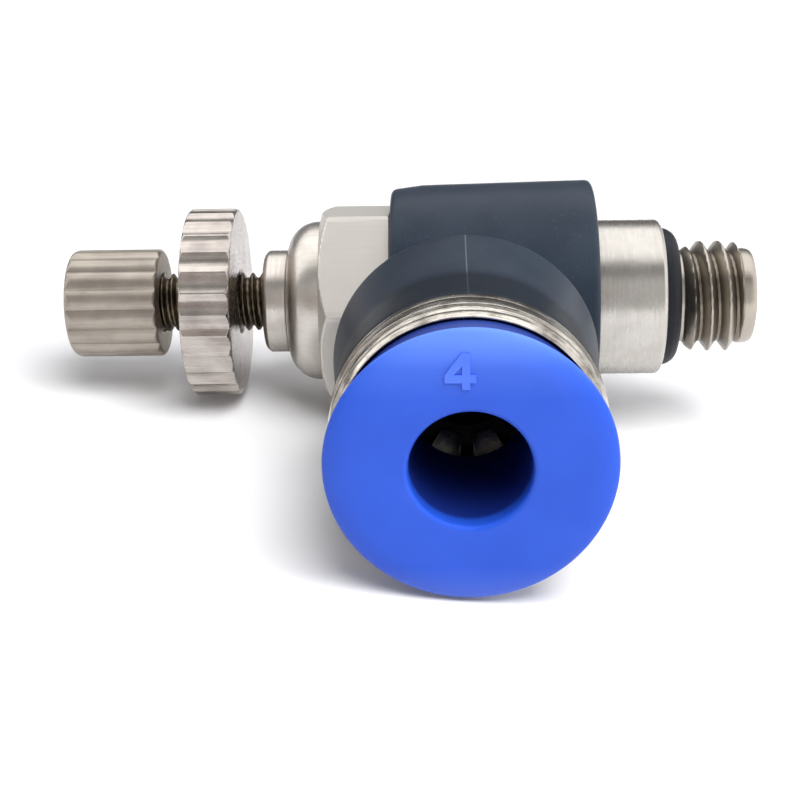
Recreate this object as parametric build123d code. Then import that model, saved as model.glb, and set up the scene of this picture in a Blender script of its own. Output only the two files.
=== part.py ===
from build123d import *
from math import cos, radians, sin, tan
import os

# Elbow flow control valve in millimetres, +Z up.
# +X runs along the valve axis and out of the M5 thread; X = 0 is the gasket's sealing face.
# The tube port points along -Y, with its axis in the plane Z = 0.

# ---- driving dimensions: M5 end ----
THREAD_R = 2.45
THREAD_PITCH = 0.8
THREAD_LENGTH = 3.35
THREAD_DEPTH = 0.44
FIRST_CREST = 0.40
CREST_COUNT = 4
TIP_R = 2.0
RELIEF_R = 2.0
GASKET_R = 3.08
GASKET_THICKNESS = 0.68
GASKET_MOUTH_R = 2.48
STEM_COLLAR_R = 3.43
STEM_COLLAR_LENGTH = 3.0
COLLAR_SEAT_R = 2.7

# ---- driving dimensions: elbow ----
SWIVEL_GAP = 0.05
BLOCK_LEFT_R = 4.90
BLOCK_SHOULDER_R = 5.08
BLOCK_SHOULDER = 1.4
BLOCK_RIGHT_R = 5.22
BLOCK_LENGTH = 8.8
BLOCK_EDGE_R = 0.25
PORT_FROM_BLOCK_LEFT = 3.13
BARREL_BACK = 7.6
BARREL_BACK_R = 5.30
BARREL_WAIST = 11.35
BARREL_WAIST_R = 4.97
BARREL_FRONT = 14.05
BARREL_FRONT_R = 5.05
NECK_R = 3.95
NECK_FLARE = 1.1
NECK_INSET = 0.12
NECK_FLAT_END = 5.2
NECK_FLAT_SLOPE = 1.2

# ---- driving dimensions: stem ----
HEX_ACROSS_FLATS = 8.0
HEX_LENGTH = 3.02
HEX_CORNER_ANGLE = 50.0
DOME_R = 3.54
DOME_LENGTH = 1.54
DOME_EDGE_R = 1.35
SPINDLE_R = 2.80
SPINDLE_CLEARANCE = 0.05
O_RING_CORD_R = 0.33
O_RING_GROOVE_R = 2.16
O_RING_GROOVE_WIDTH = 0.80
THREAD_BORE_R = 1.25
ORIFICE_R = 0.80
ORIFICE_LENGTH = 0.80
NEEDLE_BORE_R = 1.45
BUSH_BORE_R = 2.05
METERED_HOLE_R = 0.60
FREE_HOLE_R = 0.45
CROSS_HOLE_COUNT = 4

# ---- driving dimensions: adjuster ----
BUSH_COLLAR_R = 2.28
BUSH_COLLAR_LENGTH = 1.06
BUSH_BARREL_LENGTH = 3.14
SCREW_R = 1.30
SCREW_CLEARANCE = 0.06
SCREW_PITCH = 0.45
SCREW_DEPTH = 0.22
SCREW_START = 0.35
SCREW_RUNOUT = 0.60
BUSH_TO_NUT = 1.15
NUT_R = 4.18
NUT_LENGTH = 2.18
NUT_TEETH = 28
NUT_FLUTE_DEPTH = 0.20
NUT_TURN = -4.6
NUT_TO_KNOB = 1.32
KNOB_R = 2.40
KNOB_LENGTH = 4.08
KNOB_LOBES = 16
KNOB_LOBE_RISE = 0.13
KNOB_LEFT_EDGE = 0.24
KNOB_RIGHT_EDGE = 0.16
KNOB_HOLE_DEPTH = 3.0
OPENING_TRAVEL = 1.35
CLOSING_TRAVEL = 0.90
STOP_GAP = 0.05
NEEDLE_HEAD_R = 1.40
NEEDLE_HEAD_LENGTH = 2.30
NEEDLE_PLUG_R = 1.15
NEEDLE_TIP_BASE_R = 0.74
NEEDLE_TIP_END_R = 0.35
NEEDLE_TIP_LENGTH = 1.20
NEEDLE_CORD_R = 0.24
NEEDLE_GROOVE_R = 0.95
NEEDLE_GROOVE_WIDTH = 0.60
NEEDLE_GROOVE_INSET = 0.85

# ---- driving dimensions: tube port, as distances out from the valve axis ----
TUBE_HOLE_R = 2.13
COLLAR_GROOVE = 15.11
COLLAR_FRONT = 15.67
SLEEVE_FRONT = 17.80
FLANGE_R = 5.06
FLANGE_RIM = 17.48
FLANGE_ROOT = 17.00
FLANGE_FACE_R = 4.66
PRESS_TRAVEL = 1.2
SLEEVE_NECK_R = 4.62
COLLAR_RECESS_R = 4.70
COLLAR_RECESS_BACK = 14.25
SLEEVE_TUBE_R = 3.10
TUBE_STOP = 6.9
SOCKET_END = 8.6
SEAL_FRONT = 10.0
SPACER_FRONT = 10.75
CLAW_RIM = 0.15
PASSAGE_R = 1.5
SEAL_POCKET_R = 3.30
SPACER_POCKET_R = 3.95
COLLAR_POCKET_R = 4.62
COLLAR_BORE_R = 3.20
CLAW_TEETH = 10
CLAW_TURN = 18.0
TOOTH_TIP_R = 1.92
DIGIT_X = -0.34
DIGIT_Z = 3.63

# ---- stations along X, worked out from the lengths ----
COLLAR_RIGHT = -GASKET_THICKNESS
COLLAR_LEFT = COLLAR_RIGHT - STEM_COLLAR_LENGTH
BLOCK_RIGHT = COLLAR_LEFT - SWIVEL_GAP
BLOCK_LEFT = BLOCK_RIGHT - BLOCK_LENGTH
PORT_X = BLOCK_LEFT + PORT_FROM_BLOCK_LEFT
HEX_RIGHT = BLOCK_LEFT - SWIVEL_GAP
HEX_LEFT = HEX_RIGHT - HEX_LENGTH
DOME_LEFT = HEX_LEFT - DOME_LENGTH
BUSH_LEFT = DOME_LEFT - BUSH_COLLAR_LENGTH
BUSH_INNER = DOME_LEFT + BUSH_BARREL_LENGTH
NUT_RIGHT = BUSH_LEFT - BUSH_TO_NUT
NUT_LEFT = NUT_RIGHT - NUT_LENGTH
KNOB_RIGHT = NUT_LEFT - NUT_TO_KNOB
KNOB_LEFT = KNOB_RIGHT - KNOB_LENGTH

# Seals, chambers and holes along the stem, placed from the port axis.
UPPER_GROOVE = PORT_X - 2.40
METERED_CHAMBER = (PORT_X - 0.90, PORT_X + 2.20)
METERED_HOLES = PORT_X + 0.65
SEAT = PORT_X + 1.90
CHECK_GROOVE = (PORT_X + 2.45, PORT_X + 3.35)
CHECK_GROOVE_R = 2.15
FREE_CHAMBER = (PORT_X + 3.50, PORT_X + 4.50)
FREE_CHAMBER_R = 3.30
FREE_HOLES = PORT_X + 4.00
METERED_CHAMBER_R = 3.50
LOWER_GROOVE = PORT_X + 4.68
BODY_BORE_R = SPINDLE_R + SPINDLE_CLEARANCE

# The needle stands part open; its head stops against the bush and its plug against the seat.
NEEDLE_HEAD_LEFT = BUSH_INNER + STOP_GAP + OPENING_TRAVEL
NEEDLE_SHOULDER = SEAT - STOP_GAP - CLOSING_TRAVEL
NEEDLE_GROOVE = NEEDLE_HEAD_LEFT + NEEDLE_GROOVE_INSET


def turned(profile):
    """A solid of revolution about the valve axis from (x, radius) points."""
    outline = make_face(Polyline(*[(x, r) for x, r in profile], close=True))
    return revolve(outline, Axis.X)


def port_turned(profile):
    """A solid of revolution about the port axis from (distance out from the valve axis, radius) points."""
    outline = make_face(Polyline(*[(r, -out) for out, r in profile], close=True))
    return Pos(PORT_X, 0, 0) * revolve(outline, Axis.Y)


def rod(x_from, x_to, radius):
    """A plain cylinder about the valve axis."""
    return turned([(x_from, 0), (x_from, radius), (x_to, radius), (x_to, 0)])


def port_rod(out_from, out_to, radius):
    """A plain cylinder about the port axis."""
    return port_turned([(out_from, 0), (out_from, radius), (out_to, radius), (out_to, 0)])


def ridge_points(first_crest, count, pitch, crest_r, depth, crest_width):
    """Profile points of a row of 60 degree ridges, standing for a screw thread."""
    flank = depth * tan(radians(30))
    points = []
    for index in range(count):
        crest = first_crest + index * pitch
        points.append((crest - crest_width / 2 - flank, crest_r - depth))
        points.append((crest - crest_width / 2, crest_r))
        points.append((crest + crest_width / 2, crest_r))
        points.append((crest + crest_width / 2 + flank, crest_r - depth))
    return points


def cord_ring(x_centre, inner_r, cord_r):
    """An O-ring about the valve axis with the given inner radius."""
    section = Pos(x_centre, inner_r + cord_r) * Circle(cord_r)
    return revolve(section, Axis.X)


def wavy_outline(count, edge_r, middle_r):
    """Outline of equal arcs round the valve axis, each with its ends at edge_r and its middle at middle_r."""
    half_step = radians(180 / count)
    arcs = []
    for index in range(count):
        middle = 2 * index * half_step
        start = (edge_r * cos(middle - half_step), edge_r * sin(middle - half_step))
        top = (middle_r * cos(middle), middle_r * sin(middle))
        end = (edge_r * cos(middle + half_step), edge_r * sin(middle + half_step))
        arcs.append(ThreePointArc(start, top, end))
    return make_face(arcs)


def edged_disc(left, right, radius, left_edge, right_edge):
    """A disc with chamfered rims that clears a prism's ridges between them, for cutting the prism's ends."""
    tip_room = 0.001
    reach = radius + tip_room
    outside = radius + 100 * tip_room
    return turned(
        [
            (left, 0),
            (left, reach - left_edge),
            (left + left_edge, reach),
            (left + left_edge, outside),
            (right - right_edge, outside),
            (right - right_edge, reach),
            (right, reach - right_edge),
            (right, 0),
        ]
    )


def make_knob():
    """Handle of round lobes side by side, with a blind hole for the end of the screw."""
    lobes = wavy_outline(KNOB_LOBES, KNOB_R - KNOB_LOBE_RISE, KNOB_R)
    prism = extrude(Plane.YZ.offset(KNOB_LEFT) * lobes, KNOB_LENGTH)
    handle = prism & edged_disc(KNOB_LEFT, KNOB_RIGHT, KNOB_R, KNOB_LEFT_EDGE, KNOB_RIGHT_EDGE)
    return handle - rod(KNOB_RIGHT - KNOB_HOLE_DEPTH, KNOB_RIGHT, SCREW_R)


def make_needle():
    """Adjusting screw, sealed head, plug and metering tip in one piece."""
    screw_left = KNOB_RIGHT - KNOB_HOLE_DEPTH
    core_r = SCREW_R - SCREW_DEPTH
    ridges_from = KNOB_RIGHT + SCREW_START
    ridges = int((NEEDLE_HEAD_LEFT - SCREW_RUNOUT - ridges_from) / SCREW_PITCH)
    head_right = NEEDLE_HEAD_LEFT + NEEDLE_HEAD_LENGTH
    tip_end = NEEDLE_SHOULDER + NEEDLE_TIP_LENGTH
    profile = [(screw_left, 0), (screw_left, SCREW_R), (KNOB_RIGHT, SCREW_R), (KNOB_RIGHT, core_r)]
    profile += ridge_points(ridges_from, ridges, SCREW_PITCH, SCREW_R, SCREW_DEPTH, SCREW_PITCH / 8)
    profile += [
        (NEEDLE_HEAD_LEFT, core_r),
        (NEEDLE_HEAD_LEFT, NEEDLE_HEAD_R),
        (NEEDLE_GROOVE, NEEDLE_HEAD_R),
        (NEEDLE_GROOVE, NEEDLE_GROOVE_R),
        (NEEDLE_GROOVE + NEEDLE_GROOVE_WIDTH, NEEDLE_GROOVE_R),
        (NEEDLE_GROOVE + NEEDLE_GROOVE_WIDTH, NEEDLE_HEAD_R),
        (head_right, NEEDLE_HEAD_R),
        (head_right + 0.2, NEEDLE_PLUG_R),
        (NEEDLE_SHOULDER, NEEDLE_PLUG_R),
        (NEEDLE_SHOULDER, NEEDLE_TIP_BASE_R),
        (tip_end, NEEDLE_TIP_END_R),
        (tip_end, 0),
    ]
    return turned(profile)


def make_needle_o_ring():
    """Seal between the needle's head and the stem's bore."""
    return cord_ring(NEEDLE_GROOVE + NEEDLE_GROOVE_WIDTH / 2, NEEDLE_GROOVE_R, NEEDLE_CORD_R)


def make_lock_nut():
    """Thin round nut with hollow flutes all round and sharp ridges between them."""
    edge = 0.12
    bore_r = SCREW_R + SCREW_CLEARANCE
    flutes = wavy_outline(NUT_TEETH, NUT_R, NUT_R - NUT_FLUTE_DEPTH)
    prism = extrude(Plane.YZ.offset(NUT_LEFT) * flutes, NUT_LENGTH)
    disc = prism & edged_disc(NUT_LEFT, NUT_RIGHT, NUT_R, edge, edge)
    bore = turned(
        [
            (NUT_LEFT, 0),
            (NUT_LEFT, bore_r + edge),
            (NUT_LEFT + edge, bore_r),
            (NUT_RIGHT - edge, bore_r),
            (NUT_RIGHT, bore_r + edge),
            (NUT_RIGHT, 0),
        ]
    )
    return Rot(X=NUT_TURN) * (disc - bore)


def make_guide_bush():
    """Round collar and barrel pressed into the stem; the screw turns in its bore."""
    bore_r = SCREW_R + SCREW_CLEARANCE
    edge = 0.18
    return turned(
        [
            (BUSH_LEFT, bore_r + edge),
            (BUSH_LEFT, BUSH_COLLAR_R - edge),
            (BUSH_LEFT + edge, BUSH_COLLAR_R),
            (DOME_LEFT, BUSH_COLLAR_R),
            (DOME_LEFT, BUSH_BORE_R),
            (BUSH_INNER, BUSH_BORE_R),
            (BUSH_INNER, bore_r),
            (BUSH_LEFT + edge, bore_r),
        ]
    )


def dome_points():
    """Profile points of the rounded shoulder, from its flat end to the hexagon."""
    steps = 8
    points = [(DOME_LEFT, BUSH_BORE_R)]
    for index in range(steps + 1):
        angle = radians(90 * index / steps)
        x = DOME_LEFT + DOME_EDGE_R * (1 - cos(angle))
        points.append((x, DOME_R - DOME_EDGE_R * (1 - sin(angle))))
    return points


def make_hexagon():
    """Six-sided wrench section with its left corners turned down at 30 degrees."""
    across_corners_r = HEX_ACROSS_FLATS / 2 / cos(radians(30))
    outline = Rot(Z=HEX_CORNER_ANGLE) * RegularPolygon(across_corners_r, 6)
    prism = extrude(Plane.YZ.offset(HEX_LEFT) * outline, HEX_LENGTH)
    start_r = HEX_ACROSS_FLATS / 2 - 0.10
    run = (across_corners_r - start_r) * tan(radians(30))
    envelope = turned(
        [
            (HEX_LEFT, 0),
            (HEX_LEFT, start_r),
            (HEX_LEFT + run, across_corners_r),
            (HEX_RIGHT, across_corners_r),
            (HEX_RIGHT, 0),
        ]
    )
    return prism & envelope


def cross_holes(x_centre, radius, count):
    """Radial holes through the stem's wall."""
    upward = (Align.CENTER, Align.CENTER, Align.MIN)
    drill = Pos(x_centre, 0, 0) * Cylinder(radius, SPINDLE_R + 1, align=upward)
    return [Rot(X=360 * index / count) * drill for index in range(count)]


def make_valve_stem():
    """Domed shoulder, hexagon, sealed spindle, collar seat and M5 end in one turned piece."""
    outer = dome_points()
    outer += [
        (HEX_RIGHT, DOME_R),
        (HEX_RIGHT, SPINDLE_R),
        (UPPER_GROOVE, SPINDLE_R),
        (UPPER_GROOVE, O_RING_GROOVE_R),
        (UPPER_GROOVE + O_RING_GROOVE_WIDTH, O_RING_GROOVE_R),
        (UPPER_GROOVE + O_RING_GROOVE_WIDTH, SPINDLE_R),
        (CHECK_GROOVE[0], SPINDLE_R),
        (CHECK_GROOVE[0], CHECK_GROOVE_R),
        (CHECK_GROOVE[1], CHECK_GROOVE_R),
        (CHECK_GROOVE[1], SPINDLE_R),
        (LOWER_GROOVE, SPINDLE_R),
        (LOWER_GROOVE, O_RING_GROOVE_R),
        (LOWER_GROOVE + O_RING_GROOVE_WIDTH, O_RING_GROOVE_R),
        (LOWER_GROOVE + O_RING_GROOVE_WIDTH, SPINDLE_R),
        (COLLAR_LEFT, SPINDLE_R),
        (COLLAR_LEFT, COLLAR_SEAT_R),
        (COLLAR_RIGHT, COLLAR_SEAT_R),
        (COLLAR_RIGHT, RELIEF_R),
    ]
    crest_width = THREAD_PITCH / 8
    outer += ridge_points(FIRST_CREST, CREST_COUNT - 1, THREAD_PITCH, THREAD_R, THREAD_DEPTH, crest_width)
    last_crest = FIRST_CREST + (CREST_COUNT - 1) * THREAD_PITCH
    flank = THREAD_DEPTH * tan(radians(30))
    outer += [
        (last_crest - crest_width / 2 - flank, THREAD_R - THREAD_DEPTH),
        (last_crest - crest_width / 2, THREAD_R),
        (last_crest + crest_width / 2, THREAD_R),
        (THREAD_LENGTH, TIP_R),
        (THREAD_LENGTH, THREAD_BORE_R),
    ]
    inner = [
        (SEAT + ORIFICE_LENGTH, THREAD_BORE_R),
        (SEAT + ORIFICE_LENGTH, ORIFICE_R),
        (SEAT, ORIFICE_R),
        (SEAT, NEEDLE_BORE_R),
        (BUSH_INNER, NEEDLE_BORE_R),
        (BUSH_INNER, BUSH_BORE_R),
    ]
    body = turned(outer + inner)
    hexagon = make_hexagon() - rod(HEX_LEFT - 1, HEX_RIGHT + 1, DOME_R - 0.2)
    body += hexagon
    body -= cross_holes(METERED_HOLES, METERED_HOLE_R, CROSS_HOLE_COUNT)
    body -= cross_holes(FREE_HOLES, FREE_HOLE_R, CROSS_HOLE_COUNT)
    return body


def make_stem_collar():
    """Plain ring pressed on the stem, which keeps the elbow on."""
    edge = 0.15
    return turned(
        [
            (COLLAR_LEFT, COLLAR_SEAT_R),
            (COLLAR_LEFT, STEM_COLLAR_R),
            (COLLAR_RIGHT - edge, STEM_COLLAR_R),
            (COLLAR_RIGHT, STEM_COLLAR_R - edge),
            (COLLAR_RIGHT, COLLAR_SEAT_R),
        ]
    )


def make_thread_gasket():
    """Sealing ring snapped into the relief behind the M5 thread."""
    return turned(
        [
            (COLLAR_RIGHT, RELIEF_R + 0.06),
            (COLLAR_RIGHT, GASKET_R),
            (COLLAR_RIGHT + 0.33, GASKET_R - 0.08),
            (COLLAR_RIGHT + 0.55, GASKET_R - 0.22),
            (0, GASKET_R - 0.40),
            (0, GASKET_MOUTH_R),
            (-0.20, RELIEF_R + 0.06),
        ]
    )


def make_upper_o_ring():
    """Swivel seal on the hexagon side."""
    return cord_ring(UPPER_GROOVE + O_RING_GROOVE_WIDTH / 2, O_RING_GROOVE_R, O_RING_CORD_R)


def make_lower_o_ring():
    """Swivel seal on the thread side."""
    return cord_ring(LOWER_GROOVE + O_RING_GROOVE_WIDTH / 2, O_RING_GROOVE_R, O_RING_CORD_R)


def make_check_seal():
    """Lip seal whose lip opens towards the thread, so that flow to the thread folds it down."""
    left, right = CHECK_GROOVE
    lip_r = BODY_BORE_R - 0.02
    floor_r = CHECK_GROOVE_R + 0.02
    return turned(
        [
            (left + 0.05, floor_r),
            (right - 0.15, floor_r),
            (right - 0.15, floor_r + 0.15),
            (left + 0.42, floor_r + 0.19),
            (right - 0.10, lip_r - 0.13),
            (right - 0.06, lip_r),
            (right - 0.22, lip_r),
            (left + 0.25, lip_r - 0.21),
            (left + 0.05, lip_r - 0.25),
        ]
    )


def make_valve_body():
    """Plastic elbow: a round block across the stem, a neck and a barrel for the tube fitting."""
    block = turned(
        [
            (BLOCK_LEFT, 0),
            (BLOCK_LEFT, BLOCK_LEFT_R),
            (BLOCK_LEFT + BLOCK_SHOULDER, BLOCK_SHOULDER_R),
            (BLOCK_RIGHT, BLOCK_RIGHT_R),
            (BLOCK_RIGHT, 0),
        ]
    )
    ends = block.edges().filter_by(GeomType.CIRCLE).group_by(Axis.X)
    block = fillet([*ends[0], *ends[-1]], BLOCK_EDGE_R)
    barrel = port_turned(
        [
            (0, 0),
            (0, NECK_R),
            (BARREL_BACK - NECK_FLARE, NECK_R),
            (BARREL_BACK - NECK_FLARE * 0.35, NECK_R + 0.25),
            (BARREL_BACK - NECK_FLARE * 0.08, BARREL_BACK_R - 0.55),
            (BARREL_BACK, BARREL_BACK_R - 0.12),
            (BARREL_BACK + 0.18, BARREL_BACK_R),
            (BARREL_WAIST, BARREL_WAIST_R),
            (BARREL_FRONT, BARREL_FRONT_R),
            (BARREL_FRONT, 0),
        ]
    )
    # The neck is flattened on the hexagon's side, so that it stays within the block's length.
    flat_x = BLOCK_LEFT + NECK_INSET
    flare_out = 1.5
    flat = make_face(
        Polyline(
            (flat_x, 0),
            (flat_x, -NECK_FLAT_END),
            (flat_x - flare_out, -NECK_FLAT_END - flare_out / NECK_FLAT_SLOPE),
            (flat_x - flare_out, 0),
            close=True,
        )
    )
    barrel -= extrude(flat, 2 * NECK_R, both=True)
    body = block + barrel
    body -= rod(BLOCK_LEFT - 1, BLOCK_RIGHT + 1, BODY_BORE_R)
    body -= rod(*METERED_CHAMBER, METERED_CHAMBER_R)
    body -= rod(*FREE_CHAMBER, FREE_CHAMBER_R)
    body -= port_rod(0, TUBE_STOP + 1, PASSAGE_R)
    body -= port_rod(TUBE_STOP, SOCKET_END + 1, TUBE_HOLE_R)
    body -= port_rod(SOCKET_END, SEAL_FRONT + 0.5, SEAL_POCKET_R)
    body -= port_rod(SEAL_FRONT, SPACER_FRONT + 1, SPACER_POCKET_R)
    body -= port_rod(SPACER_FRONT + CLAW_RIM, BARREL_FRONT + 1, COLLAR_POCKET_R)
    return body


def make_port_collar():
    """Metal ring whose sleeve is pressed into the barrel and whose rounded nose shows at the mouth."""
    claw_side = SPACER_FRONT + CLAW_RIM
    return port_turned(
        [
            (claw_side, COLLAR_BORE_R),
            (claw_side, COLLAR_POCKET_R),
            (BARREL_FRONT, COLLAR_POCKET_R),
            (BARREL_FRONT, BARREL_FRONT_R),
            (COLLAR_GROOVE - 0.10, BARREL_FRONT_R - 0.02),
            (COLLAR_GROOVE - 0.04, BARREL_FRONT_R - 0.12),
            (COLLAR_GROOVE + 0.04, BARREL_FRONT_R - 0.12),
            (COLLAR_GROOVE + 0.10, BARREL_FRONT_R - 0.07),
            (COLLAR_GROOVE + 0.34, BARREL_FRONT_R - 0.18),
            (COLLAR_FRONT, BARREL_FRONT_R - 0.29),
            (COLLAR_FRONT, COLLAR_RECESS_R + 0.02),
            (COLLAR_FRONT - 0.06, COLLAR_RECESS_R),
            (COLLAR_RECESS_BACK, COLLAR_RECESS_R),
            (COLLAR_RECESS_BACK, COLLAR_BORE_R),
        ]
    )


def make_tube_seal():
    """Rubber ring with a rounded lip that closes on the tube."""
    lip_r = 1.93
    wall = 0.02
    return port_turned(
        [
            (SOCKET_END + 0.03, 2.45),
            (SOCKET_END + 0.03, SEAL_POCKET_R - wall),
            (SEAL_FRONT - 0.03, SEAL_POCKET_R - wall),
            (SEAL_FRONT - 0.03, 2.60),
            (SEAL_FRONT - 0.45, lip_r + 0.04),
            (SEAL_FRONT - 0.65, lip_r),
            (SEAL_FRONT - 0.85, lip_r + 0.04),
        ]
    )


def make_claw_backing_ring():
    """Spacer between the seal and the claw ring, open inside for the teeth."""
    return port_turned(
        [
            (SEAL_FRONT, 3.35),
            (SEAL_FRONT, SPACER_POCKET_R),
            (SPACER_FRONT, SPACER_POCKET_R),
            (SPACER_FRONT, 3.35),
        ]
    )


def make_claw_ring():
    """Spring-steel ring: a flat rim, and teeth that lean inwards, away from the mouth."""
    rim_front = SPACER_FRONT + CLAW_RIM
    thickness = 0.12
    tooth_depth = 0.55
    ring = port_turned(
        [
            (SPACER_FRONT, 3.25),
            (SPACER_FRONT, SPACER_POCKET_R),
            (rim_front, SPACER_POCKET_R),
            (rim_front, 3.25),
            (rim_front - tooth_depth, TOOTH_TIP_R),
            (rim_front - tooth_depth - thickness, TOOTH_TIP_R + 0.06),
        ]
    )
    slot_inner_w = 0.45
    slot_outer_w = 0.62
    slot = make_face(
        Polyline(
            (1.0, -slot_inner_w / 2),
            (1.0, slot_inner_w / 2),
            (3.05, slot_outer_w / 2),
            (3.05, -slot_outer_w / 2),
            close=True,
        )
    )
    slot_end = Pos(3.05, 0) * Circle(slot_outer_w / 2)
    cutter = Pos(PORT_X, 0, 0) * extrude(Plane.XZ.offset(SEAL_FRONT - 0.5) * (slot + slot_end), 2)
    axis = Axis((PORT_X, 0, 0), (0, -1, 0))
    ring -= [cutter.rotate(axis, CLAW_TURN + 360 * index / CLAW_TEETH) for index in range(CLAW_TEETH)]
    return ring


def digit_four():
    """Raised outline of the digit 4, the tube's outside diameter, on the sleeve's face."""
    height = 1.24
    relief = 0.06
    plane = Plane((PORT_X + DIGIT_X, -SLEEVE_FRONT, DIGIT_Z), x_dir=(1, 0, 0), z_dir=(0, -1, 0))
    stroke = 0.21
    left = -0.50
    stem_x = 0.20
    right = 0.50
    bar_y = -0.26
    top = height / 2
    foot = -height / 2
    outline = make_face(
        Polyline(
            (stem_x - stroke / 2, foot),
            (stem_x + stroke / 2, foot),
            (stem_x + stroke / 2, bar_y - stroke / 2),
            (right, bar_y - stroke / 2),
            (right, bar_y + stroke / 2),
            (stem_x + stroke / 2, bar_y + stroke / 2),
            (stem_x + stroke / 2, top),
            (stem_x - stroke / 2 - 0.02, top),
            (left, bar_y + stroke * 0.55),
            (left, bar_y - stroke / 2),
            (stem_x - stroke / 2, bar_y - stroke / 2),
            close=True,
        )
    )
    counter = make_face(
        Polyline(
            (stem_x - stroke / 2, bar_y + stroke / 2),
            (stem_x - stroke / 2, top - 0.36),
            (left + 0.22, bar_y + stroke / 2),
            close=True,
        )
    )
    return extrude(plane * (outline - counter), relief, both=True)


def make_release_sleeve():
    """Blue push ring: a flanged head with the tube hole and a thin tube that reaches the claws."""
    tip = SPACER_FRONT + CLAW_RIM - 0.05 + PRESS_TRAVEL
    neck_back = COLLAR_RECESS_BACK + PRESS_TRAVEL + 0.05
    lead = 0.20
    body = port_turned(
        [
            (tip, TUBE_HOLE_R + 0.05),
            (tip, SLEEVE_TUBE_R - 0.25),
            (tip + 0.45, SLEEVE_TUBE_R),
            (neck_back, SLEEVE_TUBE_R),
            (neck_back, SLEEVE_NECK_R),
            (FLANGE_ROOT, SLEEVE_NECK_R),
            (FLANGE_RIM - 0.08, FLANGE_R - 0.06),
            (FLANGE_RIM, FLANGE_R),
            (FLANGE_RIM + 0.08, FLANGE_R - 0.04),
            (FLANGE_RIM + 0.19, FLANGE_R - 0.16),
            (SLEEVE_FRONT, FLANGE_FACE_R),
            (SLEEVE_FRONT, TUBE_HOLE_R + lead),
            (SLEEVE_FRONT - lead * 0.3, TUBE_HOLE_R + lead * 0.3),
            (SLEEVE_FRONT - lead, TUBE_HOLE_R),
            (tip + 0.05, TUBE_HOLE_R),
        ]
    )
    return body + digit_four()


PIECES = {
    "knob": make_knob,
    "needle": make_needle,
    "needle_o_ring": make_needle_o_ring,
    "lock_nut": make_lock_nut,
    "guide_bush": make_guide_bush,
    "valve_stem": make_valve_stem,
    "stem_collar": make_stem_collar,
    "thread_gasket": make_thread_gasket,
    "upper_o_ring": make_upper_o_ring,
    "lower_o_ring": make_lower_o_ring,
    "check_seal": make_check_seal,
    "valve_body": make_valve_body,
    "port_collar": make_port_collar,
    "tube_seal": make_tube_seal,
    "claw_ring": make_claw_ring,
    "claw_backing_ring": make_claw_backing_ring,
    "release_sleeve": make_release_sleeve,
}

os.makedirs("parts", exist_ok=True)
for node, make in PIECES.items():
    export_step(make(), f"parts/{node}.step")
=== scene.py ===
import math

import bmesh
import bpy
from mathutils import Matrix, Vector


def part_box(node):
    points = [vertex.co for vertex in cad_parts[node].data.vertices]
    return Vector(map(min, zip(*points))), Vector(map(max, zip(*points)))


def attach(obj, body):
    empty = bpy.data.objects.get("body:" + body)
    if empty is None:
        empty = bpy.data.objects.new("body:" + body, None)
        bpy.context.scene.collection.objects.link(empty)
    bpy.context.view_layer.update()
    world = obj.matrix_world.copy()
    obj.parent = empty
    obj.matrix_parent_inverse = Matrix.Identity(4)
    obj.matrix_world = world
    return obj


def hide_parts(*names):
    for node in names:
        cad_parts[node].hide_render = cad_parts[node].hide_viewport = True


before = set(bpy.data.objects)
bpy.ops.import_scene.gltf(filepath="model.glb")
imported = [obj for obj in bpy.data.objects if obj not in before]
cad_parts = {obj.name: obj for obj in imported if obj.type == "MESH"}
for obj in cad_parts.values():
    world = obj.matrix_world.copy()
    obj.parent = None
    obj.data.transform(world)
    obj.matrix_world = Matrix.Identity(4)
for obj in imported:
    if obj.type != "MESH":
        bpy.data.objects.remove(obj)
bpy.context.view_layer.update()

MM = 0.001
ROUND_SEGMENTS = 192
TINY = 1e-6
NEARLY_STRAIGHT = math.radians(168)
MOST_OF_HALF = 0.45


# ---- places and sizes in millimetres, read from the frame ----


def span(node, axis):
    """Lowest and highest coordinate of a CAD node along one axis, in millimetres."""
    low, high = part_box(node)
    return low[axis] / MM, high[axis] / MM


KNOB_LEFT, KNOB_RIGHT = span("knob", 0)
NUT_LEFT, NUT_RIGHT = span("lock_nut", 0)
BUSH_LEFT, BUSH_INNER = span("guide_bush", 0)
DOME_LEFT, THREAD_END = span("valve_stem", 0)
SCREW_LEFT, TIP_END = span("needle", 0)
COLLAR_LEFT, COLLAR_RIGHT = span("stem_collar", 0)
GASKET_LEFT, SEAL_FACE = span("thread_gasket", 0)
PORT_X = sum(span("release_sleeve", 0)) / 2
SLEEVE_FRONT = 17.80
TUBE_HOLE_R = 2.13
FLANGE_R = (span("release_sleeve", 0)[1] - span("release_sleeve", 0)[0]) / 2
BLOCK_RIGHT = span("valve_body", 0)[1]
BARREL_BACK_R = span("valve_body", 2)[1]
BARREL_FRONT = -span("valve_body", 1)[0]
BLOCK_RIGHT_R = span("valve_body", 1)[1]
STEM_COLLAR_R = span("stem_collar", 2)[1]
GASKET_R = span("thread_gasket", 2)[1]
CLAW_RIM_FRONT = -span("claw_ring", 1)[0]
# Stations, out from the valve axis, of the lines of painted shade that lie in the port collar's mark and
# groove.
GROOVE_SHADE_RINGS = (14.44, 15.14)

KNOB_R = 2.40
NUT_R = 4.18
BUSH_COLLAR_R = span("guide_bush", 2)[1]
BUSH_BARREL_R = 2.05
DOME_R = 3.54
SWIVEL_GAP = 0.05
BLOCK_LEFT = BLOCK_RIGHT - 8.80
BLOCK_BELLY_X = BLOCK_LEFT + 1.4
BLOCK_BELLY_R = 5.08
HEX_RIGHT = BLOCK_LEFT - SWIVEL_GAP
HEX_LEFT = HEX_RIGHT - 3.02
HEX_HALF_WIDTH = 4.0
HEX_CORNER = math.radians(50)


# ---- mesh helpers ----


shown_pieces = []


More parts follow.
